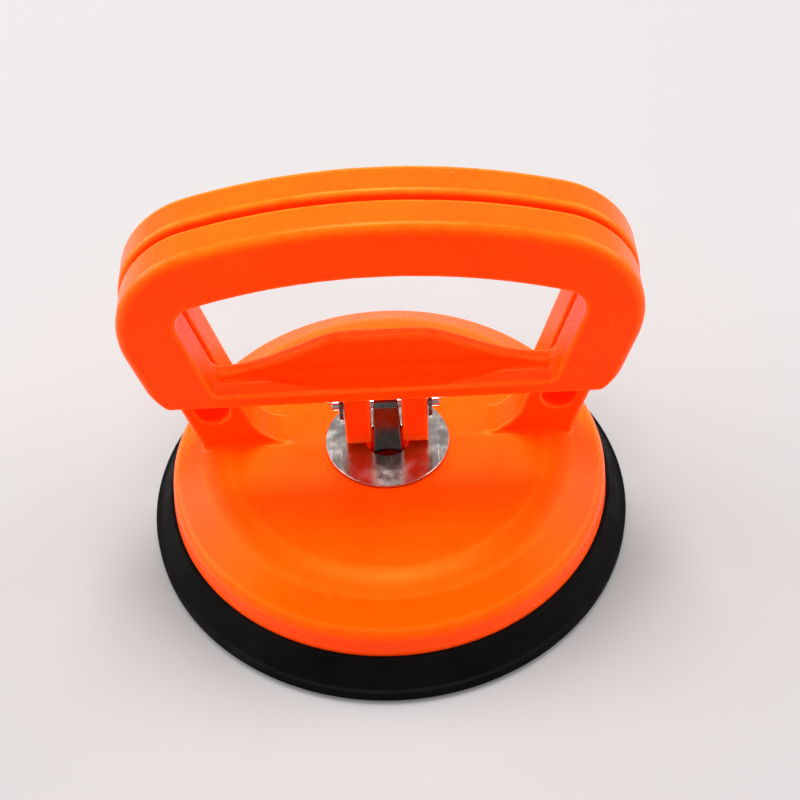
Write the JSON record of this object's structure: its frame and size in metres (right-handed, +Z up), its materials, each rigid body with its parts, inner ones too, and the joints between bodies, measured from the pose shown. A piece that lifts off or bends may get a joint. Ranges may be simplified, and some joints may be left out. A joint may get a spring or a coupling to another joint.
{
  "type": "vacuum suction cup",
  "caption": "Round rubber suction pad under a moulded dome with a fixed loop handle and a hinged lever loop that lifts the middle of the pad.",
  "frame": {"origin": "middle of the pad's sealing face, on the floor", "axes": "+Z up through the pad's axis, X across the handles, the lever opens towards -Y"},
  "size_m": [0.118, 0.118, 0.0986],
  "materials": {
    "orange_plastic": "satin moulded",
    "black_rubber": "matte",
    "polished_steel": "tumbled and polished",
    "bright_steel": "plated",
    "dark_steel": "blackened spring steel"
  },
  "bodies": {
    "cup": {"body_shell": "orange_plastic", "wear_plate": "polished_steel", "rubber_pad": "black_rubber"},
    "pull_link": {"insert_plate": "polished_steel", "pull_strap": "polished_steel", "pivot_pin": "bright_steel", "retaining_clip_left": "dark_steel", "retaining_clip_right": "dark_steel"},
    "lever": {"lever_handle": "orange_plastic"}
  },
  "joints": [
    {"name": "pad_lift", "type": "slide", "parent": "cup", "child": "pull_link", "axis": [0, 0, 1], "range_m": [-0.00197, 0], "deforming": ["rubber_pad"]},
    {"name": "lever_swing", "type": "hinge", "parent": "pull_link", "child": "lever", "pos_m": [0, 0, 0.0362], "axis": [1, 0, 0], "range_deg": [0, 75]}
  ],
  "couplings": [
    {"joint": "pad_lift", "follows": "lever_swing", "m_per_rad": -0.0015}
  ]
}
